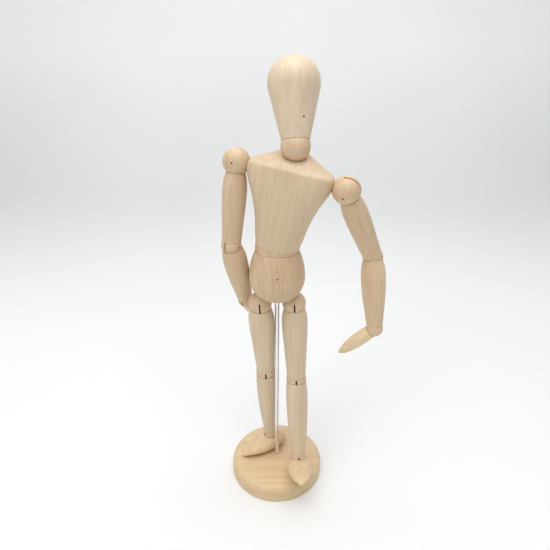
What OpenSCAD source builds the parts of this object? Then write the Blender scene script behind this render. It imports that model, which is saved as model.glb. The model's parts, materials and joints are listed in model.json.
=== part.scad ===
// Artist mannequin: a jointed wooden figure on a steel rod and a round base.
// Every limb is a turned spindle between wooden balls. A steel spring inside each spindle
// ends in a flat tongue, pinned in the slot of the ball above, and in a headed wire that
// turns freely in the ball below. Origin: centre of the base's underside. The figure faces -Y
// and its left side is +X. The angles below are the pose it stands in.

/* [Base and rod] */
// Diameter of the round base
base_d = 70; // [60:1:90]
// Thickness of the base
base_h = 12; // [11:0.5:16]
// Radius of the rounded upper edge
base_round = 5; // [3:0.5:6]
// Diameter of the steel rod
rod_d = 3.2; // [2.8:0.1:3.4]

/* [Body] */
// Height of the hip joints above the table
hip_z = 148.5; // [148:0.5:160]
// Sideways distance of each hip joint from the middle
hip_half = 11.6; // [11.4:0.1:13]
// Height of the waist joint above the hip joints
waist_rise = 41; // [40.5:0.5:44]
// Height of the neck joint above the waist joint
neck_rise = 65; // [64:0.5:68]
// Height of the shoulder joints above the waist joint
shoulder_rise = 47.5; // [46:0.5:49]
// Sideways distance of each shoulder joint from the middle
shoulder_half = 34; // [33.5:0.5:36]
// Height of the head above the neck joint
head_h = 49; // [46:1:54]

/* [Limbs] */
// Shoulder joint to elbow joint
upper_arm_l = 52.5; // [50:0.5:58]
// Elbow joint to wrist joint
forearm_l = 48.5; // [46:0.5:54]
// Wrist joint to fingertips
hand_l = 33; // [30:1:38]
// Hip joint to knee joint
thigh_l = 61.5; // [58:0.5:62]
// Knee joint to ankle joint
shin_l = 63; // [61:0.5:64]
// Length of the foot, heel to toe
foot_l = 39; // [37:0.5:41]

/* [Balls] */
// Radius of the waist ball
waist_r = 14.3; // [14:0.1:14.6]
// Radius of the neck ball
neck_r = 8.7; // [8.4:0.1:9]
// Radius of the shoulder balls
shoulder_r = 8.5; // [8.2:0.1:8.7]
// Radius of the elbow balls
elbow_r = 6.5; // [6.3:0.1:6.7]
// Radius of the wrist balls
wrist_r = 5.4; // [5.2:0.1:5.5]
// Radius of the hip balls
hip_r = 8; // [7.8:0.1:8.2]
// Radius of the knee balls
knee_r = 7.3; // [7.1:0.1:7.4]
// Radius of the ankle balls
ankle_r = 5.8; // [5.6:0.1:5.9]

/* [Pose] */
// Figure turned on its rod
figure_turn = 0; // [-180:5:180]
// Waist: turn, sideways lean, forward bend
waist_pose = [-16, 11, 5];
// Neck: turn, sideways tilt, nod
neck_pose = [40, 0, -27];
// Left arm: shoulder swing, shoulder raise, elbow turn, elbow bend, wrist turn, wrist bend
left_arm = [19, -29.5, -11.5, -34.5, -80, -52];
// Right arm, in the same order
right_arm = [-9, -6.5, -20.5, 23.5, 10, 24];
// Left leg: hip spread, hip swing, knee turn, knee bend, ankle turn, ankle pitch
left_leg = [-2.5, -1.2, -2, -12.5, 4, -8];
// Right leg, in the same order
right_leg = [-3.2, 7, 0, -4.5, -58, 0.5];

/* [Hidden] */
$fn = 96;

beech = "#E3C49A";
beech_dark = "#D2AC7C";
steel = "#B9BEC4";

// Running gaps and wall thicknesses
cup_gap = 0.15;     // between a ball and the cup it sits in
lip = 0.3;          // thickness of a cup at its rim
pin_r = 0.6;        // steel pins through the balls
pin_gap = 0.06;     // pin to tongue hole
slot_w = 1.1;       // saw cut in a ball
tongue_t = 0.8;     // steel tongue in the saw cut
tongue_half = 1.4;  // half width of a tongue
slot_share = 0.33;  // saw cut starts this share of the radius past the ball's centre
wire_r = 0.5;       // steel wire of all springs
coil_r = 1.6;       // mean radius of the limb springs
bore_r = 2.4;       // bore that a spring lies in
head_r = 0.95;      // head on the end of a wire
head_at = 3.0;      // distance of that head from the ball's centre
swivel_r = 1.15;    // counterbore for the wire's head
wire_gap = 0.2;     // wire to the hole it turns in
wire_flare = 0.6;   // that hole is this much wider at the ball's surface

// Angle of each cup's rim from the limb's axis
shoulder_rim = 42;
elbow_rim = 70;
wrist_rim = 68;
hip_rim = 60;
thigh_end_rim = 62;
knee_rim = 70;
ankle_rim = 60;
palm_rim = 48;
instep_rim = 48;
upper_arm_end_rim = 66;
waist_gap = 2.6;    // rims of the waist stand this far from the ball's middle

head_rim = 66;
neck_seat = 50;
head_max_r = 15;
pelvis_max_r = 18.5;
pelvis_pin_z = waist_rise - waist_r - 1.2;
head_pin_z = 14;
rod_top = hip_z + 17.5;
hip_coil_z = 20.9;
chest_link_z = 30;

foot_drop = 9.3;    // ankle joint to the sole
foot_w = 19;
heel_r = 7;
toe_r = 3;
hand_w = 13;
hand_t = 9.3;
finger_r = 2.2;
hinge_l = 12;       // how deep the steel hinge goes into the hand
rod_foot = 2.5;     // lower end of the rod, above the table
edge_r = 1;         // small rounding of the base's lower edge

// ---------- shared shapes ----------

// Radius of an arc that falls by `drop` over the run `run` from its crest.
function arc_r(run, drop) = (run * run + drop * drop) / (2 * drop);

// One side of a turned outline: an arc from the crest (r, z) through the point (r - drop, z + run),
// carried on below it for `beyond`.
module crest_arc(r, z, run, drop, beyond = 0) {
    big = arc_r(abs(run), drop);
    intersection() {
        translate([r - big, z]) circle(big, $fn = 720);
        translate([0, min(z, z + run) - beyond]) square([r + 1, abs(run) + beyond]);
    }
}

// A turned limb between two balls: top joint at the origin, bottom joint at z = -l.
// Below its crest it falls along an arc for `belly`, then straight to its lower rim. The arc ends
// half as steep again as the straight, so that the two cross cleanly.
module spindle(l, top_r, top_rim, end_r, end_rim, max_r, crest_z, belly) {
    top_z = -top_r * cos(top_rim);
    end_z = -l + end_r * cos(end_rim);
    end_rim_r = end_r * sin(end_rim) + lip;
    slope = (max_r - end_rim_r) / (crest_z - end_z - belly / 4);
    fall = 0.75 * slope * belly;
    lap = 3;
    taper_z = crest_z - belly + lap;
    taper_r = max_r - fall + lap * slope;
    color(beech) difference() {
        union() {
            rotate_extrude() {
                crest_arc(max_r, crest_z, top_z - crest_z, max_r - top_r * sin(top_rim) - lip);
                crest_arc(max_r, crest_z, -belly, fall, lap);
            }
            translate([0, 0, end_z]) cylinder(h = taper_z - end_z, r1 = end_rim_r, r2 = taper_r);
        }
        sphere(top_r + cup_gap);
        translate([0, 0, -l]) sphere(end_r + cup_gap);
        translate([0, 0, -l]) cylinder(h = l, r = bore_r);
    }
}

// A joint ball. The limb above ends in a headed wire at +Z; the limb below swings on a pin along X.
module joint_ball(r) {
    slot_top = slot_share * r;
    color(beech_dark) difference() {
        sphere(r);
        translate([-slot_w / 2, -r - 1, -r - 1]) cube([slot_w, 2 * r + 2, r + 1 + slot_top]);
        translate([0, 0, slot_top - 0.5]) cylinder(h = head_at + head_r + 0.7 - slot_top, r = swivel_r);
        cylinder(h = r + 1, r1 = wire_r + wire_gap, r2 = wire_r + wire_gap + wire_flare);
        rotate([0, 90, 0]) cylinder(h = 2 * r + 2, r = pin_r, center = true);
    }
}

// The steel pin through a joint ball.
module joint_pin(r) {
    length = 2 * sqrt(r * r - pin_r * pin_r) - 0.1;
    color(steel) rotate([0, 90, 0]) cylinder(h = length, r = pin_r, center = true);
}

// The flat tongue that swings on a joint pin, from the pin down to z = -l.
module tongue(l) {
    difference() {
        union() {
            rotate([0, 90, 0]) cylinder(h = tongue_t, r = tongue_half, center = true);
            translate([-tongue_t / 2, -tongue_half, -l]) cube([tongue_t, 2 * tongue_half, l]);
        }
        rotate([0, 90, 0]) cylinder(h = 2 * tongue_t, r = pin_r + pin_gap, center = true);
    }
}

// A close-wound spring along Z, its turns drawn as rings that run into one another.
module coil(turns) {
    rotate_extrude()
        for (i = [0 : turns - 1])
            translate([coil_r, i * 1.8 * wire_r]) circle(wire_r, $fn = 24);
}

function coil_h(turns) = (turns - 1) * 1.8 * wire_r;

// Straight wire from one point to another.
module wire(a, b) {
    d = b - a;
    length = norm(d);
    translate(a)
        rotate([0, acos(d.z / length), atan2(d.y, d.x)])
            cylinder(h = length, r = wire_r, $fn = 24);
}

// Bend between two straight wires.
module wire_bend(p) {
    translate(p) sphere(wire_r + 0.03, $fn = 24);
}

// A wire eye around the Y axis.
module eye(r) {
    rotate([90, 0, 0]) rotate_extrude() translate([r, 0]) circle(wire_r + 0.04, $fn = 24);
}

// The whole spring of a limb: tongue, coil, and the headed wire for the next ball.
module limb_spring(l, top_r, turns) {
    start = -top_r - 6;
    color(steel) {
        tongue(-start);
        translate([0, 0, start - 0.5]) cylinder(h = 1, r = coil_r + wire_r);
        translate([0, 0, start - coil_h(turns)]) coil(turns);
        translate([0, 0, start - coil_h(turns) - 0.5]) cylinder(h = 1, r = coil_r + wire_r);
        wire([0, 0, start - coil_h(turns)], [0, 0, -l + head_at]);
        translate([0, 0, -l + head_at]) sphere(head_r, $fn = 32);
    }
}

// ---------- base, rod and trunk ----------

module base() {
    r = base_d / 2;
    bore = rod_d / 2;
    color(beech) difference() {
        rotate_extrude() {
            square([r - base_round, base_h]);
            translate([0, edge_r]) square([r, base_h - base_round - edge_r]);
            square([r - edge_r, base_h - base_round]);
            translate([r - edge_r, edge_r]) circle(edge_r);
            translate([r - base_round, base_h - base_round]) circle(base_round);
        }
        translate([0, 0, rod_foot]) cylinder(h = base_h, r = bore);
    }
}

module support_rod() {
    chamfer = 0.4;
    color(steel) {
        translate([0, 0, rod_foot]) cylinder(h = rod_top - rod_foot - chamfer, d = rod_d);
        translate([0, 0, rod_top - chamfer]) cylinder(h = chamfer, d1 = rod_d, d2 = rod_d - 2 * chamfer);
    }
}

module at_pelvis() translate([0, 0, hip_z]) rotate([0, 0, figure_turn]) children();

module pelvis() {
    crest = 20;
    bottom = 6.2;
    top = waist_rise - waist_gap;
    color(beech) at_pelvis() difference() {
        rotate_extrude() {
            crest_arc(pelvis_max_r, crest, bottom - crest, 6.3);
            crest_arc(pelvis_max_r, crest, top - crest, pelvis_max_r - waist_r - 0.1);
        }
        for (side = [-1, 1])
            translate([side * hip_half, 0, 0]) {
                sphere(hip_r + cup_gap);
                cylinder(h = hip_coil_z, r = wire_r + wire_gap);
            }
        translate([0, 0, waist_rise]) sphere(waist_r + cup_gap);
        cylinder(h = rod_top - hip_z + 0.5, r = rod_d / 2 + 0.1);
        translate([0, 0, pelvis_pin_z - 2.8]) cylinder(h = 12, r = bore_r);
        translate([0, 0, pelvis_pin_z]) rotate([90, 0, 0]) cylinder(h = 60, r = pin_r, center = true);
        translate([0, 0, hip_coil_z]) rotate([0, 90, 0]) cylinder(h = 2 * hip_half + 2, r = bore_r, center = true);
    }
}

module pelvis_pin() {
    color(steel) at_pelvis() translate([0, 0, pelvis_pin_z]) rotate([90, 0, 0])
        cylinder(h = 2 * pelvis_max_r - 2.4, r = pin_r, center = true);
}

// One spring lying across the pelvis, its two ends bent down into the hip balls.
module hip_cross_spring() {
    turns = 13;
    color(steel) at_pelvis() {
        translate([-coil_h(turns) / 2, 0, hip_coil_z]) rotate([0, 90, 0]) coil(turns);
        for (side = [-1, 1]) {
            translate([side * coil_h(turns) / 2, 0, hip_coil_z]) rotate([0, 90, 0])
                cylinder(h = 0.8, r = coil_r + wire_r, center = true);
            wire([side * coil_h(turns) / 2, 0, hip_coil_z], [side * hip_half, 0, hip_coil_z]);
            wire_bend([side * hip_half, 0, hip_coil_z]);
            wire([side * hip_half, 0, hip_coil_z], [side * hip_half, 0, head_at]);
            translate([side * hip_half, 0, head_at]) sphere(head_r, $fn = 32);
        }
    }
}

module at_waist() at_pelvis() translate([0, 0, waist_rise]) children();
module at_waist_turn() at_waist() rotate([0, 0, waist_pose[0]]) children();
module at_waist_lean() at_waist_turn() rotate([0, waist_pose[1], 0]) children();
module at_chest() at_waist_lean() rotate([waist_pose[2], 0, 0]) children();

// Spring from the pelvis pin, up through the waist ball, to its hook in the chest.
module waist_spring() {
    turns = 14;
    foot = [0, 0, pelvis_pin_z - waist_rise + 1.6];
    color(steel) {
        at_waist() {
            translate([0, 0, pelvis_pin_z - waist_rise]) eye(1.6);
            wire(foot, [0, 0, 0]);
            wire_bend([0, 0, 0]);
        }
        at_chest() {
            wire([0, 0, 0], [0, 0, 12]);
            translate([0, 0, 11.5]) cylinder(h = 1, r = coil_r + wire_r);
            translate([0, 0, 12]) coil(turns);
            translate([0, 0, 11.5 + coil_h(turns)]) cylinder(h = 1, r = coil_r + wire_r);
            wire([0, 0, 12 + coil_h(turns)], [0, 0, chest_link_z - 2.6]);
            translate([0, 0, chest_link_z - 1]) eye(1.6);
        }
    }
}

// Wide ball between pelvis and chest, its bore flared both ways.
module waist_ball() {
    color(beech_dark) at_waist_lean() difference() {
        sphere(waist_r);
        for (flip = [0, 180])
            rotate([flip, 0, 0]) cylinder(h = waist_r + 1, r1 = 1.4, r2 = 7);
    }
}

// Level oval slice of the chest: height above the waist joint, half width, half depth.
module chest_slice(s) {
    translate([0, 0, s[0]]) scale([s[1] / s[2], 1, 1]) cylinder(h = 1, r = s[2], $fn = 64);
}

module chest() {
    face = shoulder_half - 7.5;
    corner = [24, 4.3, shoulder_rise + 2.3];
    corner_r = 3.5;
    crown_z = neck_rise - neck_r * cos(neck_seat) - 1;
    color(beech) at_chest() difference() {
        union() {
            hull() {
                chest_slice([waist_gap, waist_r + cup_gap, waist_r + cup_gap]);
                chest_slice([8, 15.6, 14.8]);
                chest_slice([18, 16.7, 15]);
            }
            hull() {
                chest_slice([10, 14.2, 14.2]);
                chest_slice([18, 17, 15.2]);
                chest_slice([40, 24.4, 13.6]);
                for (x = [-1, 1], y = [-1, 1])
                    translate([x * corner.x, y * corner.y, corner.z]) sphere(corner_r, $fn = 32);
                translate([0, 0, crown_z]) cylinder(h = 1, r = 8.8, $fn = 64);
            }
        }
        for (side = [-1, 1]) {
            translate([side * (face + 10), 0, shoulder_rise]) cube([20, 60, 60], center = true);
            translate([side * shoulder_half, 0, shoulder_rise]) sphere(shoulder_r + cup_gap);
        }
        sphere(waist_r + cup_gap);
        translate([0, 0, neck_rise]) sphere(neck_r + cup_gap);
        cylinder(h = neck_rise, r = bore_r);
        translate([0, 0, shoulder_rise]) rotate([0, 90, 0])
            cylinder(h = 2 * shoulder_half, r = bore_r, center = true);
    }
}

// Two coils joined by a straight wire, with a headed end in each shoulder ball.
module shoulder_cross_spring() {
    turns = 14;
    inner = 5;
    outer = inner + coil_h(turns);
    end = shoulder_half - head_at;
    color(steel) at_chest() translate([0, 0, shoulder_rise]) {
        wire([-inner, coil_r, 0], [inner, coil_r, 0]);
        for (side = [-1, 1]) mirror([side < 0 ? 1 : 0, 0, 0]) {
            translate([inner, 0, 0]) rotate([0, 90, 0]) coil(turns);
            translate([outer, 0, 0]) rotate([0, 90, 0])
                cylinder(h = 0.8, r = coil_r + wire_r, center = true);
            wire([outer, 0, 0], [end, 0, 0]);
            translate([end, 0, 0]) sphere(head_r, $fn = 32);
        }
    }
}

module at_neck() at_chest() translate([0, 0, neck_rise]) children();
module at_neck_turn() at_neck() rotate([0, 0, neck_pose[0]]) children();
module at_neck_tilt() at_neck_turn() rotate([0, neck_pose[1], 0]) children();
module at_head() at_neck_tilt() rotate([neck_pose[2], 0, 0]) children();

// Spring from its hook in the chest, up through the neck ball, to the head pin.
module neck_spring() {
    turns = 9;
    start = chest_link_z + 3.6 - neck_rise;
    color(steel) {
        at_neck() {
            translate([0, 0, chest_link_z + 1 - neck_rise]) rotate([0, 0, 90]) eye(1.6);
            wire([0, 0, chest_link_z + 2.6 - neck_rise], [0, 0, start]);
            translate([0, 0, start - 0.3]) cylinder(h = 1, r = coil_r + wire_r);
            translate([0, 0, start]) coil(turns);
            translate([0, 0, start + coil_h(turns) - 0.5]) cylinder(h = 1, r = coil_r + wire_r);
            wire([0, 0, start + coil_h(turns)], [0, 0, 0]);
            wire_bend([0, 0, 0]);
        }
        at_head() {
            wire([0, 0, 0], [0, 0, head_pin_z - 1.6]);
            translate([0, 0, head_pin_z]) eye(1.6);
        }
    }
}

// Ball under the head: a narrow bore below, flared above so that the head can nod.
module neck_ball() {
    color(beech_dark) at_neck_tilt() difference() {
        sphere(neck_r);
        cylinder(h = neck_r + 1, r1 = 0.9, r2 = 6.8);
        rotate([180, 0, 0]) cylinder(h = neck_r + 1, r1 = 0.9, r2 = 3.6);
    }
}

// Egg-shaped head, narrow end down: a sphere running into a cone that is tangent to it.
module head() {
    rim_r = neck_r * sin(head_rim) + lip;
    rim_z = neck_r * cos(head_rim);
    top_z = head_h - head_max_r;
    span = norm([rim_r, top_z - rim_z]);
    slant = asin(head_max_r / span) - atan2(rim_r, top_z - rim_z);
    touch = [head_max_r * cos(slant), top_z - head_max_r * sin(slant)];
    color(beech) at_head() difference() {
        rotate_extrude() {
            polygon([[0, rim_z], [rim_r, rim_z], touch, [0, touch.y]]);
            translate([0, top_z]) intersection() {
                circle(head_max_r);
                translate([0, -head_max_r]) square([head_max_r, 2 * head_max_r]);
            }
        }
        sphere(neck_r + cup_gap);
        cylinder(h = head_pin_z + 3, r = bore_r);
        translate([0, 0, head_pin_z]) rotate([90, 0, 0]) cylinder(h = 50, r = pin_r, center = true);
    }
}

module head_pin() {
    color(steel) at_head() translate([0, 0, head_pin_z]) rotate([90, 0, 0])
        cylinder(h = 21, r = pin_r, center = true);
}

// ---------- arms ----------

// side = 1 is the figure's left, side = -1 its right.
function arm(side) = side > 0 ? left_arm : right_arm;

module at_shoulder(side)
    at_chest() translate([side * shoulder_half, 0, shoulder_rise]) rotate([arm(side)[0], 0, 0]) children();

// Turns a joint ball so that its wire points into the chest and its pin runs front to back.
module shoulder_ball_frame(side) at_shoulder(side) rotate([0, -90 * side, 0]) rotate([0, 0, 90]) children();

module at_upper_arm(side) at_shoulder(side) rotate([0, arm(side)[1], 0]) children();
module at_elbow_turn(side)
    at_upper_arm(side) translate([0, 0, -upper_arm_l]) rotate([0, 0, arm(side)[2]]) children();
module at_forearm(side) at_elbow_turn(side) rotate([arm(side)[3], 0, 0]) children();
module at_wrist_turn(side)
    at_forearm(side) translate([0, 0, -forearm_l]) rotate([0, 0, arm(side)[4]]) children();
module at_hand(side) at_wrist_turn(side) rotate([arm(side)[5], 0, 0]) children();

module shoulder_ball(side) shoulder_ball_frame(side) joint_ball(shoulder_r);
module shoulder_pin(side) shoulder_ball_frame(side) joint_pin(shoulder_r);

module upper_arm(side) at_upper_arm(side)
    spindle(upper_arm_l, shoulder_r, shoulder_rim, elbow_r, upper_arm_end_rim,
        max_r = 7.6, crest_z = -17, belly = 20);

// The tongue of an upper arm swings on a pin along Y, so the spring is turned a quarter.
module upper_arm_spring(side) at_upper_arm(side) rotate([0, 0, 90])
    limb_spring(upper_arm_l, shoulder_r, turns = 17);

module elbow_ball(side) at_elbow_turn(side) joint_ball(elbow_r);
module elbow_pin(side) at_elbow_turn(side) joint_pin(elbow_r);

module forearm(side) at_forearm(side)
    spindle(forearm_l, elbow_r, elbow_rim, wrist_r, wrist_rim, max_r = 8, crest_z = -13, belly = 24);

module forearm_spring(side) at_forearm(side) limb_spring(forearm_l, elbow_r, turns = 15);

module wrist_ball(side) at_wrist_turn(side) joint_ball(wrist_r);

// One steel piece: the pin through the wrist ball and the tongue that is fixed in the hand.
module wrist_hinge(side) {
    length = 2 * sqrt(wrist_r * wrist_r - pin_r * pin_r) - 0.1;
    color(steel) at_hand(side) {
        rotate([0, 90, 0]) cylinder(h = length, r = pin_r - 0.05, center = true);
        rotate([0, 90, 0]) cylinder(h = tongue_t, r = tongue_half, center = true);
        translate([-tongue_t / 2, -tongue_half, -hinge_l]) cube([tongue_t, 2 * tongue_half, hinge_l]);
    }
}

// Mitten-shaped hand, flat front and back.
module hand(side) {
    palm_z = -wrist_r * cos(palm_rim);
    color(beech) at_hand(side) difference() {
        hull() {
            translate([0, 0, palm_z - 0.5]) cylinder(h = 0.5, r = wrist_r * sin(palm_rim) + lip, $fn = 32);
            translate([0, 0, -14]) scale([hand_w / hand_t, 1, 1.6]) sphere(hand_t / 2, $fn = 32);
            translate([0, 0, 1.2 * finger_r - hand_l]) scale([1.2, 0.9, 1.2]) sphere(finger_r, $fn = 32);
        }
        sphere(wrist_r + cup_gap);
        translate([-tongue_t / 2, -tongue_half, -hinge_l]) cube([tongue_t, 2 * tongue_half, hinge_l]);
    }
}

// ---------- legs ----------

function leg(side) = side > 0 ? left_leg : right_leg;

module at_hip_spread(side)
    at_pelvis() translate([side * hip_half, 0, 0]) rotate([0, leg(side)[0], 0]) children();
module at_thigh(side) at_hip_spread(side) rotate([leg(side)[1], 0, 0]) children();
module at_knee_turn(side)
    at_thigh(side) translate([0, 0, -thigh_l]) rotate([0, 0, leg(side)[2]]) children();
module at_shin(side) at_knee_turn(side) rotate([leg(side)[3], 0, 0]) children();
module at_ankle_turn(side)
    at_shin(side) translate([0, 0, -shin_l]) rotate([0, 0, leg(side)[4]]) children();
module at_foot(side) at_ankle_turn(side) rotate([leg(side)[5], 0, 0]) children();

module hip_ball(side) at_hip_spread(side) joint_ball(hip_r);
module hip_pin(side) at_hip_spread(side) joint_pin(hip_r);

module thigh(side) at_thigh(side)
    spindle(thigh_l, hip_r, hip_rim, knee_r, thigh_end_rim, max_r = 9, crest_z = -14.5, belly = 14);
module thigh_spring(side) at_thigh(side) limb_spring(thigh_l, hip_r, turns = 22);

module knee_ball(side) at_knee_turn(side) joint_ball(knee_r);
module knee_pin(side) at_knee_turn(side) joint_pin(knee_r);

module shin(side) at_shin(side)
    spindle(shin_l, knee_r, knee_rim, ankle_r, ankle_rim, max_r = 7.9, crest_z = -13, belly = 40);
module shin_spring(side) at_shin(side) limb_spring(shin_l, knee_r, turns = 25);

module ankle_ball(side) at_ankle_turn(side) joint_ball(ankle_r);
module ankle_pin(side) at_ankle_turn(side) joint_pin(ankle_r);

// Long pointed foot with a flat sole; the ankle sits behind its middle.
module foot(side) {
    heel = 0.31 * foot_l;
    color(beech) at_foot(side) difference() {
        hull() {
            translate([0, heel - heel_r, -foot_drop + 2]) scale([1, 1, 0.75]) sphere(heel_r, $fn = 32);
            translate([0, -6, -foot_drop + 2]) scale([1, 1.2, 0.75]) sphere(foot_w / 2, $fn = 32);
            translate([0, heel - foot_l + toe_r, -foot_drop + 1.6])
                scale([1.2, 1, 0.8]) sphere(toe_r, $fn = 32);
            translate([0, 0, -ankle_r * cos(instep_rim) - 0.5])
                cylinder(h = 0.5, r = ankle_r * sin(instep_rim) + lip, $fn = 32);
        }
        translate([0, 0, -foot_drop - 10]) cube([60, 100, 20], center = true);
        sphere(ankle_r + cup_gap);
        translate([-tongue_t / 2, -tongue_half, -foot_drop + 1]) cube([tongue_t, 2 * tongue_half, foot_drop]);
    }
}

// Flat steel tongue fixed in the foot, swinging on the ankle pin.
module foot_tongue(side) {
    color(steel) at_foot(side) tongue(foot_drop - 1);
}

// ---------- output ----------

base();
support_rod();
pelvis();
pelvis_pin();
hip_cross_spring();
waist_spring();
waist_ball();
chest();
shoulder_cross_spring();
neck_spring();
neck_ball();
head();
head_pin();

shoulder_ball(1);  // shoulder_ball_left
shoulder_pin(1);  // shoulder_pin_left
upper_arm(1);  // upper_arm_left
upper_arm_spring(1);  // upper_arm_spring_left
elbow_ball(1);  // elbow_ball_left
elbow_pin(1);  // elbow_pin_left
forearm(1);  // forearm_left
forearm_spring(1);  // forearm_spring_left
wrist_ball(1);  // wrist_ball_left
wrist_hinge(1);  // wrist_hinge_left
hand(1);  // hand_left

shoulder_ball(-1);  // shoulder_ball_right
shoulder_pin(-1);  // shoulder_pin_right
upper_arm(-1);  // upper_arm_right
upper_arm_spring(-1);  // upper_arm_spring_right
elbow_ball(-1);  // elbow_ball_right
elbow_pin(-1);  // elbow_pin_right
forearm(-1);  // forearm_right
forearm_spring(-1);  // forearm_spring_right
wrist_ball(-1);  // wrist_ball_right
wrist_hinge(-1);  // wrist_hinge_right
hand(-1);  // hand_right

hip_ball(1);  // hip_ball_left
hip_pin(1);  // hip_pin_left
thigh(1);  // thigh_left
thigh_spring(1);  // thigh_spring_left
knee_ball(1);  // knee_ball_left
knee_pin(1);  // knee_pin_left
shin(1);  // shin_left
shin_spring(1);  // shin_spring_left
ankle_ball(1);  // ankle_ball_left
ankle_pin(1);  // ankle_pin_left
foot(1);  // foot_left
foot_tongue(1);  // foot_tongue_left

hip_ball(-1);  // hip_ball_right
hip_pin(-1);  // hip_pin_right
thigh(-1);  // thigh_right
thigh_spring(-1);  // thigh_spring_right
knee_ball(-1);  // knee_ball_right
knee_pin(-1);  // knee_pin_right
shin(-1);  // shin_right
shin_spring(-1);  // shin_spring_right
ankle_ball(-1);  // ankle_ball_right
ankle_pin(-1);  // ankle_pin_right
foot(-1);  // foot_right
foot_tongue(-1);  // foot_tongue_right
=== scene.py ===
"""Artist mannequin: a jointed beech figure on a steel rod, photographed on a white sweep."""

import json
import math

import bmesh
import bpy
from mathutils import Matrix, Vector

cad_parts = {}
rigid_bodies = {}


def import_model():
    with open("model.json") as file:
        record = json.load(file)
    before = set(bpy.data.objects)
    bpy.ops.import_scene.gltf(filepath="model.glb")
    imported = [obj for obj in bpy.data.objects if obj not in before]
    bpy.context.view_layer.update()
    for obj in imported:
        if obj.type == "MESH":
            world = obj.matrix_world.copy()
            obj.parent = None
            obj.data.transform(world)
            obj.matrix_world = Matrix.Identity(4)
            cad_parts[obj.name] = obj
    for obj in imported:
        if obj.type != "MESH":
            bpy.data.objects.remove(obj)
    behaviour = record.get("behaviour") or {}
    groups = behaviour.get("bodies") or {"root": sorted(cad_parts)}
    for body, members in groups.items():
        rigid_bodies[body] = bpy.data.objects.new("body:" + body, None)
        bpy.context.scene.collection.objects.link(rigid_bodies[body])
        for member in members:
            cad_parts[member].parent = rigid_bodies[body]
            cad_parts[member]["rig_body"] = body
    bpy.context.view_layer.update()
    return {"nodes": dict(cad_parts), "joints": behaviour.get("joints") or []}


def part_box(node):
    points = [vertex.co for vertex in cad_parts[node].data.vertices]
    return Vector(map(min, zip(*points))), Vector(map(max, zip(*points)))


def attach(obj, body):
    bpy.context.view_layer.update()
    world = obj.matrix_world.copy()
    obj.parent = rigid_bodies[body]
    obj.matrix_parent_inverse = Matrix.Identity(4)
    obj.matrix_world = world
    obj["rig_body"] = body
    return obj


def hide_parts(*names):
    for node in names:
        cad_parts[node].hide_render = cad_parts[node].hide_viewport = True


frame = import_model()
NODES = frame["nodes"]
JOINTS = {joint["name"]: joint for joint in frame["joints"]}
MM = 0.001
SIDES = ("left", "right")


# ---------- places on the figure ----------

def joint_at(name):
    return Vector(JOINTS[name]["pos_m"])


def joint_axis(name):
    return Vector(JOINTS[name]["axis"]).normalized()


def placement(origin, x_axis, z_axis):
    """Matrix of a part's own frame: origin at a joint, Z along z_axis, X as near x_axis as it can be."""
    z = z_axis.normalized()
    y = z.cross(x_axis).normalized()
    x = y.cross(z)
    place = Matrix((x, y, z)).transposed().to_4x4()
    place.translation = origin
    return place


def part_frames():
    """The own frame of each wooden part that isn't a ball: limbs hang along -Z from their upper joint."""
    frames = {"pelvis": Matrix.Translation(joint_at("figure_turn"))}
    frames["chest"] = placement(joint_at("waist_bend"), joint_axis("waist_bend"), joint_axis("neck_turn"))
    neck = joint_at("neck_nod")
    top = max(NODES["head"].data.vertices, key=lambda v: (v.co - neck).length).co
    frames["head"] = placement(neck, joint_axis("neck_nod"), top - neck)
    for side in SIDES:
        hang = {
            "upper_arm": ("shoulder_raise", "elbow_turn"),
            "forearm": ("elbow_bend", "wrist_turn"),
            "thigh": ("hip_swing", "knee_turn"),
            "shin": ("knee_bend", "ankle_turn"),
        }
        for part, (hinge, turn) in hang.items():
            hinge, turn = f"{hinge}_{side}", f"{turn}_{side}"
            frames[f"{part}_{side}"] = placement(joint_at(hinge), joint_axis(hinge), joint_axis(turn))
        wrist, bend = joint_at(f"wrist_bend_{side}"), joint_axis(f"wrist_bend_{side}")
        fingertip = max(NODES[f"hand_{side}"].data.vertices, key=lambda v: (v.co - wrist).length).co
        frames[f"hand_{side}"] = placement(wrist, bend, wrist - fingertip)
        sole = max(NODES[f"foot_{side}"].data.polygons, key=lambda face: face.area)
        pitch = f"ankle_pitch_{side}"
        frames[f"foot_{side}"] = placement(joint_at(pitch), joint_axis(pitch), -sole.normal)
    return frames


FRAMES = part_frames()


# ---------- rounded pieces built in place of the faceted CAD ones ----------

# Sizes in millimetres, the same as the CAD's: running gap, spring bore, tongue (thickness, width), balls.
CUP_GAP = 0.15
BORE_R = 2.4
TONGUE = (0.8, 2.8)
WAIST_R = 14.3
NECK_R = 8.7
SHOULDER_R = 8.5
WRIST_R = 5.4
ANKLE_R = 5.8


def ring_at(points, place):
    """Points in millimetres in a part's own frame, carried to the row frame."""
    return [place @ (Vector(point) * MM) for point in points]


def oval(half_w, half_d, power=2.0, count=56):
    """Points round a superellipse: power 2 is an ellipse, more is boxier."""
    points = []
    for i in range(count):
        angle = 2 * math.pi * i / count
        c, s = math.cos(angle), math.sin(angle)
        x = half_w * math.copysign(abs(c) ** (2 / power), c)
        y = half_d * math.copysign(abs(s) ** (2 / power), s)
        points.append((x, y))
    return points


def add_piece(name, mesh):
    bmesh.ops.recalc_face_normals(mesh, faces=mesh.faces)
    data = bpy.data.meshes.new(name)
    mesh.to_mesh(data)
    mesh.free()
    piece = bpy.data.objects.new(name, data)
    bpy.context.scene.collection.objects.link(piece)
    return piece


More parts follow.
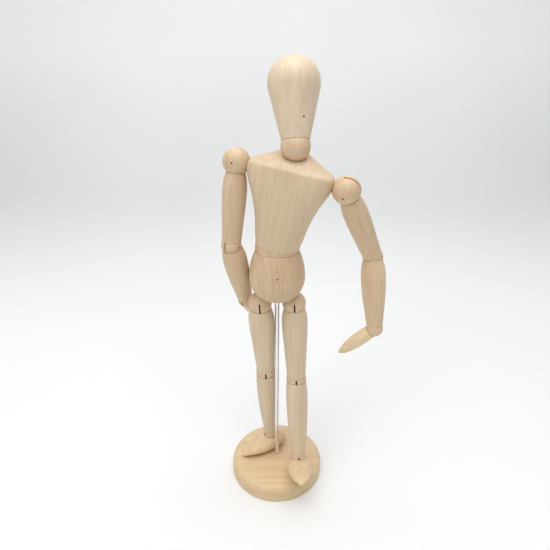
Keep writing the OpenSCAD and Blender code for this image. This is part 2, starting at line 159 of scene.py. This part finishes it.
def loft(name, rings):
    """A closed skin over rings of equal point counts, in order along the piece."""
    mesh = bmesh.new()
    rows = [[mesh.verts.new(point) for point in ring] for ring in rings]
    count = len(rows[0])
    for row, after in zip(rows, rows[1:]):
        for i in range(count):
            k = (i + 1) % count
            mesh.faces.new((row[i], row[k], after[k], after[i]))
    mesh.faces.new(rows[0])
    mesh.faces.new(rows[-1])
    return add_piece(name, mesh)


def ball_cutter(centre, radius, place):
    mesh = bmesh.new()
    bmesh.ops.create_uvsphere(mesh, u_segments=64, v_segments=40, radius=radius * MM)
    bmesh.ops.transform(mesh, matrix=place @ Matrix.Translation(Vector(centre) * MM), verts=mesh.verts)
    return add_piece("cutter", mesh)


def bore_cutter(centre, along, length, place):
    mesh = bmesh.new()
    bmesh.ops.create_cone(mesh, cap_ends=True, segments=32, radius1=BORE_R * MM, radius2=BORE_R * MM,
                          depth=length * MM)
    turn = Vector((0, 0, 1)).rotation_difference(Vector(along)).to_matrix().to_4x4()
    matrix = place @ Matrix.Translation(Vector(centre) * MM) @ turn
    bmesh.ops.transform(mesh, matrix=matrix, verts=mesh.verts)
    return add_piece("cutter", mesh)


def slot_cutter(top, bottom, place):
    mesh = bmesh.new()
    bmesh.ops.create_cube(mesh, size=1.0)
    size = Matrix.Diagonal((TONGUE[0] * MM, TONGUE[1] * MM, (top - bottom) * MM, 1))
    matrix = place @ Matrix.Translation((0, 0, (top + bottom) / 2 * MM)) @ size
    bmesh.ops.transform(mesh, matrix=matrix, verts=mesh.verts)
    return add_piece("cutter", mesh)


def carve(piece, cutters):
    """Cuts each cutter out of the piece."""
    for cutter in cutters:
        cut = piece.modifiers.new("cut", "BOOLEAN")
        cut.operation = "DIFFERENCE"
        cut.solver = "EXACT"
        cut.object = cutter
        solid = bpy.data.meshes.new_from_object(piece.evaluated_get(bpy.context.evaluated_depsgraph_get()))
        piece.modifiers.clear()
        piece.data = solid
        bpy.data.objects.remove(cutter)
    return piece


def stand_for(piece, node, body):
    """The piece rides the body and takes the place of the CAD node, which is hidden."""
    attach(piece, body)
    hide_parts(node)
    return piece


def between(z, stops):
    """Value at z on the straight lines through stops (z, value)."""
    for (z0, v0), (z1, v1) in zip(stops, stops[1:]):
        if z <= z1:
            return v0 + (v1 - v0) * (z - z0) / (z1 - z0)
    return stops[-1][1]


def rounded_chest():
    """Chest block: round at the waist, widening to two rounded shoulders, dished down from the neck.
    The cup for the neck ball stands higher at its back than at its front, above a crisp front ridge."""
    place = FRAMES["chest"]
    waist, shoulder_top, crown = 2.6, 54.0, 59.0
    crown_r = 8.9
    front_drop, back_rise = 2.4, 3.2
    widths = [(waist, 14.45), (8, 15.5), (17, 16.9), (24, 18.4), (32, 21.0), (38, 23.6), (43, 25.6),
              (47, 26.4), (50, 26.3), (52, 25.4), (53.2, 23.8), (shoulder_top, 21.6), (crown, crown_r)]
    depths = [(waist, 14.45), (8, 14.9), (17, 15.2), (30, 14.8), (40, 14.0), (48, 12.8), (53.2, 12.0),
              (crown, crown_r)]
    powers = [(waist, 2.0), (17, 2.05), (38, 2.3), (47, 2.7), (53.2, 2.7), (crown, 2.0)]
    levels = [waist + (52.0 - waist) * i / 30 for i in range(31)]
    levels += [52.5, 53.0, 53.4, 53.8, 54.4, 55.4, 56.6, 57.8, 58.5, crown]
    rings = []
    for z in levels:
        depth = between(z, depths)
        share = max(0.0, (z - shoulder_top) / (crown - shoulder_top))
        points = []
        for x, y in oval(between(z, widths), depth, between(z, powers), 72):
            back = 0.5 + 0.5 * y / depth
            points.append((x, y, z + share * (back_rise * back - front_drop * (1 - back))))
        rings.append(ring_at(points, place))
    piece = loft("chest_block", rings)
    shoulder = [(place.inverted() @ joint_at(f"shoulder_raise_{side}")) / MM for side in SIDES]
    neck = (place.inverted() @ joint_at("neck_nod")) / MM
    carve(piece, [
        ball_cutter((0, 0, 0), WAIST_R + CUP_GAP, place),
        ball_cutter(neck, NECK_R + CUP_GAP, place),
        ball_cutter(shoulder[0], SHOULDER_R + CUP_GAP, place),
        ball_cutter(shoulder[1], SHOULDER_R + CUP_GAP, place),
        bore_cutter((0, 0, neck.z / 2), (0, 0, 1), neck.z, place),
        bore_cutter((0, 0, shoulder[0].z), (1, 0, 0), 2 * abs(shoulder[0].x), place),
    ])
    return stand_for(piece, "chest", "chest")


def rounded_foot(side):
    """Long foot: flat sole, round heel, pointed toe, cupped under the ankle ball."""
    place = FRAMES[f"foot_{side}"]
    sole, heel, toe, broad = -9.3, 12.1, -26.9, -5.0
    stations, shy = 40, 0.9995  # shy keeps the end rings from closing to a point
    belly_h, under = 2.2, 3.6  # widest level above the sole; the oval's depth below it, cut flat by the sole
    half_w, instep, toe_drop = 9.2, 9.1, 5.5
    rings = []
    for k in range(stations + 1):
        y = (heel + toe) / 2 + (heel - toe) / 2 * shy * math.cos(math.pi * k / stations)
        if y > broad:
            u = (y - broad) / (heel - broad)
            width = half_w * (1 - u ** 2.6) ** 0.5
            height = instep * (1 - u ** 4) ** 0.5
        else:
            u = (broad - y) / (broad - toe)
            width = half_w * (1 - u ** 1.7) ** 0.6
            height = (instep - toe_drop * u) * (1 - u ** 8) ** 0.5
        belly = sole + min(belly_h, height / 2)
        points = []
        for x, z in oval(width, 1.0, 2.3):
            level = belly + z * (sole + height - belly) if z > 0 else belly + z * under * height / instep
            points.append((x, y, max(level, sole)))
        rings.append(ring_at(points, place))
    piece = loft(f"foot_block_{side}", rings)
    carve(piece, [ball_cutter((0, 0, 0), ANKLE_R + CUP_GAP, place), slot_cutter(1.0, sole + 1, place)])
    return stand_for(piece, f"foot_{side}", f"foot_{side}")


def rounded_hand(side):
    """Mitten hand: a leaf, flat front and back, cupped under the wrist ball."""
    place = FRAMES[f"hand_{side}"]
    rim, palm, tip = -3.6, -14.0, -33.0
    half_w, half_t = 6.5, 4.65
    stations, shy = 30, 0.9995
    slot_top, slot_end = 1.0, -12.0
    rings = []
    for k in range(stations + 1):
        z = rim + (tip - rim) * math.sin(math.pi / 2 * k / stations) * shy
        if z > palm:
            u = (z - palm) / (rim - palm)
            width = half_w - 2.2 * u ** 2
            depth = half_t - 0.35 * u ** 2
        else:
            u = (palm - z) / (palm - tip)
            width = half_w * (1 - u ** 1.9) ** 0.62
            depth = half_t * (1 - u ** 1.9) ** 0.62
        rings.append(ring_at([(x, y, z) for x, y in oval(width, depth, 2.2)], place))
    piece = loft(f"hand_block_{side}", rings)
    carve(piece, [ball_cutter((0, 0, 0), WRIST_R + CUP_GAP, place), slot_cutter(slot_top, slot_end, place)])
    return stand_for(piece, f"hand_{side}", f"hand_{side}")


def spring_half(node, turn, bend, upper_body, is_upper):
    """One half of a CAD spring cut through a joint, so that each half follows the body that it lies in."""
    lower_up = joint_axis(turn)
    upper_up = FRAMES[upper_body].to_3x3() @ Vector((0, 0, 1))
    mesh = bmesh.new()
    mesh.from_mesh(NODES[node].data)
    bmesh.ops.bisect_plane(mesh, geom=mesh.verts[:] + mesh.edges[:] + mesh.faces[:],
                           plane_co=joint_at(bend), plane_no=(lower_up + upper_up).normalized(),
                           clear_inner=is_upper, clear_outer=not is_upper)
    rim = [edge for edge in mesh.edges if edge.is_boundary]
    bmesh.ops.edgeloop_fill(mesh, edges=rim)
    piece = add_piece(f"{node}_{'upper' if is_upper else 'lower'}", mesh)
    return stand_for(piece, node, upper_body if is_upper else node)


BENT_SPRINGS = (
    ("neck_spring", "neck_turn", "neck_nod", "head"),
    ("waist_spring", "waist_turn", "waist_bend", "chest"),
)
SPRING_HALVES = [spring_half(*spring, is_upper) for spring in BENT_SPRINGS for is_upper in (True, False)]
ROUNDED = {"chest": rounded_chest()}
for which in SIDES:
    ROUNDED[f"foot_{which}"] = rounded_foot(which)
    ROUNDED[f"hand_{which}"] = rounded_hand(which)


# ---------- materials ----------

class Graph:
    """Short calls for building a node tree."""

    def __init__(self, name):
        self.material = bpy.data.materials.new(name)
        self.material.use_nodes = True
        self.tree = self.material.node_tree
        self.tree.nodes.clear()

    def node(self, kind, inputs=None, **settings):
        made = self.tree.nodes.new(kind)
        for key, value in settings.items():
            setattr(made, key, value)
        for key, value in (inputs or {}).items():
            self.plug(made.inputs[key], value)
        return made

    def plug(self, socket, value):
        if isinstance(value, bpy.types.NodeSocket):
            self.tree.links.new(value, socket)
        else:
            socket.default_value = value

    def ramp(self, value, *stops):
        """Colour ramp; each stop is (position, colour)."""
        made = self.node("ShaderNodeValToRGB", {"Fac": value})
        elements = made.color_ramp.elements
        while len(elements) < len(stops):
            elements.new(0.5)
        for element, (position, colour) in zip(elements, stops):
            element.position = position
            element.color = (*colour, 1)
        return made.outputs["Color"]

    def math(self, operation, a, b=0.0):
        made = self.node("ShaderNodeMath", operation=operation)
        self.plug(made.inputs[0], a)
        self.plug(made.inputs[1], b)
        return made.outputs[0]

    def mix(self, blend, factor, a, b):
        made = self.node("ShaderNodeMix", data_type="RGBA", blend_type=blend)
        self.plug(made.inputs["Factor"], factor)
        self.plug(made.inputs[6], a)
        self.plug(made.inputs[7], b)
        return made.outputs[2]

    def noise(self, vector, scale, detail=3.0, roughness=0.5, distortion=0.0):
        made = self.node("ShaderNodeTexNoise", {
            "Vector": vector, "Scale": scale, "Detail": detail,
            "Roughness": roughness, "Distortion": distortion,
        })
        return made.outputs["Fac"]

    def finish(self, shader):
        self.node("ShaderNodeOutputMaterial", {"Surface": shader})
        return self.material


def grey(value):
    return (value, value, value)


def wood(name, place, tone, shift=0.0, tilt=0.0, figure=0.35):
    """Sanded beech with its grain along the part's own Z: broad streaks, growth rings,
    short dark flecks, painted shade darkening the crevices, paler sharp edges. shift picks another piece of
    the tree, tilt leans the grain, figure is how strongly the rings show."""
    g = Graph(name)
    here = g.node("ShaderNodeTexCoord").outputs["Object"]
    own = place.inverted()
    turn = Matrix.Rotation(tilt, 4, "X") @ Matrix.Scale(1 / MM, 4) @ own
    euler, move = turn.to_3x3().normalized().to_euler(), turn.translation
    in_mm = g.node("ShaderNodeMapping", {
        "Vector": here,
        "Location": (move.x + 37 * shift, move.y + 19 * shift, move.z + 53 * shift),
        "Rotation": tuple(euler),
        "Scale": (1 / MM, 1 / MM, 1 / MM),
    }).outputs["Vector"]

    def along(stretch):
        """Coordinates drawn out along the grain."""
        return g.node("ShaderNodeMapping", {"Vector": in_mm, "Scale": (1, 1, stretch)}).outputs["Vector"]

    streaks = g.noise(along(0.06), 0.22, 4, 0.55)
    fine = g.noise(along(0.04), 1.5, 5, 0.6)
    rings = g.node("ShaderNodeTexWave", {
        "Vector": along(0.07), "Scale": 0.11, "Distortion": 5.5,
        "Detail": 3.0, "Detail Scale": 0.35, "Detail Roughness": 0.6,
    }, wave_type="RINGS", rings_direction="Z", wave_profile="SAW").outputs["Fac"]
    flecks = g.noise(along(0.16), 3.4, 2, 0.5)

    base = Vector(tone)
    pale = tuple(min(1.0, c * k) for c, k in zip(base, (1.07, 1.09, 1.13)))
    deep = tuple(c * k for c, k in zip(base, (0.94, 0.90, 0.84)))
    colour = g.ramp(streaks, (0.30, deep), (0.50, tuple(base)), (0.72, pale))
    ring_shade = g.ramp(rings, (0.0, grey(1.0)), (0.72, (0.97, 0.95, 0.92)), (0.97, (0.86, 0.79, 0.70)),
                        (1.0, grey(1.0)))
    colour = g.mix("MULTIPLY", figure, colour, ring_shade)
    fine_shade = g.ramp(fine, (0.35, (0.90, 0.86, 0.81)), (0.60, grey(1.0)))
    colour = g.mix("MULTIPLY", 0.3, colour, fine_shade)
    fleck_shade = g.ramp(flecks, (0.30, (0.62, 0.50, 0.38)), (0.37, grey(1.0)))
    colour = g.mix("MULTIPLY", 0.25, colour, fleck_shade)
    # Painted shade: hollows and crevices are darkened by pointiness, and sharp edges are made paler.
    edge = g.node("ShaderNodeNewGeometry").outputs["Pointiness"]
    crevice_shade_pale_edges = g.ramp(edge, (0.42, (0.70, 0.60, 0.50)), (0.49, grey(1.0)), (0.53, grey(1.0)),
                  (0.60, (1.08, 1.07, 1.06)))
    colour = g.mix("MULTIPLY", 0.6, colour, crevice_shade_pale_edges)

    rough = g.ramp(fine, (0.3, grey(0.62)), (0.7, grey(0.48)))
    relief = g.math("ADD", g.math("MULTIPLY", fine, 0.6), g.math("MULTIPLY", flecks, 0.4))
    grain = g.node("ShaderNodeBump", {"Height": relief, "Strength": 0.10, "Distance": 0.00025})
    shader = g.node("ShaderNodeBsdfPrincipled", {
        "Base Color": colour, "Roughness": rough, "Normal": grain.outputs["Normal"],
        "Coat Weight": 0.25, "Coat Roughness": 0.45,
    })
    return g.finish(shader.outputs["BSDF"])


def steel(name, shade, rough):
    """Drawn steel: fine upright scratches, faint smears in the gloss."""
    g = Graph(name)
    here = g.node("ShaderNodeTexCoord").outputs["Object"]
    scale = (1 / MM, 1 / MM, 1 / MM)
    in_mm = g.node("ShaderNodeMapping", {"Vector": here, "Scale": scale}).outputs["Vector"]
    pulled = g.node("ShaderNodeMapping", {"Vector": in_mm, "Scale": (1, 1, 0.03)}).outputs["Vector"]
    drawn = g.noise(pulled, 6.0, 4)
    smear = g.noise(in_mm, 0.12, 3)
    colour = g.ramp(smear, (0.3, grey(shade * 0.88)), (0.7, (shade, shade * 1.01, shade * 1.03)))
    gloss = g.math("ADD", rough, g.math("MULTIPLY", g.math("SUBTRACT", drawn, 0.5), 0.25))
    scratches = g.node("ShaderNodeBump", {"Height": drawn, "Strength": 0.08, "Distance": 0.0001})
    shader = g.node("ShaderNodeBsdfPrincipled", {
        "Base Color": colour, "Metallic": 1.0, "Roughness": gloss,
        "Normal": scratches.outputs["Normal"],
    })
    return g.finish(shader.outputs["BSDF"])


def dress(piece, material, smooth_to=35.0):
    piece.data.materials.clear()
    piece.data.materials.append(material)
    piece.data.shade_smooth()
    piece.data.set_sharp_from_angle(angle=math.radians(smooth_to))


BALL_TONE = (0.69, 0.51, 0.335)
TONES = {
    "base": (0.72, 0.54, 0.32),
    "pelvis": (0.65, 0.475, 0.305),
    "chest": (0.69, 0.535, 0.36),
    "head": (0.74, 0.60, 0.43),
    "thigh": (0.70, 0.565, 0.39),
    "shin": (0.69, 0.555, 0.38),
    "foot": (0.72, 0.55, 0.34),
    "upper_arm": (0.67, 0.495, 0.325),
    "forearm": (0.68, 0.505, 0.33),
    "hand": (0.78, 0.61, 0.38),
}
STRONG_FIGURE = {"pelvis": 0.65, "base": 0.4}


def wood_of(name, node, index):
    """The wood of one piece, grain along its own length; the base's grain lies level."""
    kind = name.removesuffix("_left").removesuffix("_right")
    if name == "base":
        place = placement(Vector((0, 0, 0)), Vector((0, 0, 1)), Vector((1, 0, 0)))
    elif kind.endswith("_ball"):
        low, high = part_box(name)
        place = Matrix.Translation((Vector(low) + Vector(high)) / 2)
        return wood(f"wood_{name}", place, BALL_TONE, shift=index, tilt=0.4)
    else:
        place = FRAMES[node["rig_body"]]
    return wood(f"wood_{name}", place, TONES[kind], index, figure=STRONG_FIGURE.get(kind, 0.35))


def dress_all():
    """Steel by name, wood for the rest; a rounded piece takes the wood of the node it stands for."""
    wire = steel("steel_wire", 0.55, 0.32)
    pin = steel("steel_pin", 0.13, 0.55)
    rod = steel("steel_rod", 0.85, 0.2)
    for index, (name, node) in enumerate(sorted(NODES.items())):
        if name == "support_rod":
            dress(node, rod)
        elif "_pin" in name:
            dress(node, pin)
        elif any(word in name for word in ("spring", "tongue", "hinge")):
            dress(node, wire)
        else:
            dress(ROUNDED.get(name, node), wood_of(name, node, index))
    for half in SPRING_HALVES:
        dress(half, wire)


dress_all()


# ---------- studio ----------

def sweep():
    """White floor running up into a white backdrop, with painted light: a faint emission that grows brighter
    up the backdrop.
    """
    radius = 0.35
    far = 0.75
    profile = [(-2.5, 0.0)]
    for step in range(25):
        angle = math.radians(90 * step / 24)
        profile.append((far + radius * math.sin(angle), radius * (1 - math.cos(angle))))
    profile.append((far + radius, 2.5))
    mesh = bmesh.new()
    rows = [[mesh.verts.new((x, y, z)) for y, z in profile] for x in (-3.0, 3.0)]
    for i in range(len(profile) - 1):
        mesh.faces.new((rows[0][i], rows[1][i], rows[1][i + 1], rows[0][i + 1]))
    data = bpy.data.meshes.new("sweep")
    mesh.to_mesh(data)
    mesh.free()
    data.shade_smooth()
    backdrop = bpy.data.objects.new("sweep", data)
    bpy.context.scene.collection.objects.link(backdrop)
    g = Graph("white_sweep")
    here = g.node("ShaderNodeTexCoord").outputs["Object"]
    tone = g.ramp(g.noise(here, 2.5, 2), (0.3, (0.80, 0.81, 0.81)), (0.7, (0.83, 0.84, 0.84)))
    height = g.node("ShaderNodeSeparateXYZ", {"Vector": here}).outputs["Z"]
    # Painted light: the sweep glows faintly, more strongly towards the top of the backdrop.
    painted_light_up_backdrop = g.ramp(height, (0.02, grey(0.03)), (0.35, grey(0.16)))
    shader = g.node("ShaderNodeBsdfPrincipled", {
        "Base Color": tone, "Roughness": 0.9, "Emission Color": (1, 1, 1, 1), "Emission Strength": painted_light_up_backdrop,
    })
    data.materials.append(g.finish(shader.outputs["BSDF"]))


def area_light(name, place, target, size, power, colour=(1, 1, 1)):
    light = bpy.data.lights.new(name, "AREA")
    light.shape = "RECTANGLE"
    light.size, light.size_y = size
    light.energy = power
    light.color = colour
    lamp = bpy.data.objects.new(name, light)
    lamp.location = place
    lamp.rotation_euler = (Vector(target) - Vector(place)).to_track_quat("-Z", "Y").to_euler()
    bpy.context.scene.collection.objects.link(lamp)
    return lamp


def studio():
    sweep()
    world = bpy.data.worlds.new("white_tent")
    bpy.context.scene.world = world
    world.use_nodes = True
    background = world.node_tree.nodes["Background"]
    background.inputs["Color"].default_value = (1.0, 1.0, 1.0, 1)
    background.inputs["Strength"].default_value = 0.40
    area_light("overhead", (0.0, -0.1, 1.1), (0, 0, 0.1), (1.1, 1.1), 10.5)
    area_light("front_left", (-0.7, -0.8, 0.9), (0, 0, 0.12), (0.6, 0.6), 2.6)


def camera():
    """Close hand-held view from in front, looking down on the figure."""
    pitch = math.radians(24.0)
    lens_to_frame = 0.8095  # focal length over the frame's width
    view = bpy.data.cameras.new("camera")
    view.sensor_fit = "HORIZONTAL"
    view.sensor_width = 36.0
    view.lens = view.sensor_width * lens_to_frame
    eye = bpy.data.objects.new("camera", view)
    eye.location = (-1.4 * MM, -269 * MM, 289 * MM)
    eye.rotation_euler = (math.radians(90) - pitch, 0, 0)
    view.clip_start = 0.01
    bpy.context.scene.collection.objects.link(eye)
    bpy.context.scene.camera = eye


studio()
camera()
bpy.context.scene.view_settings.view_transform = "Standard"
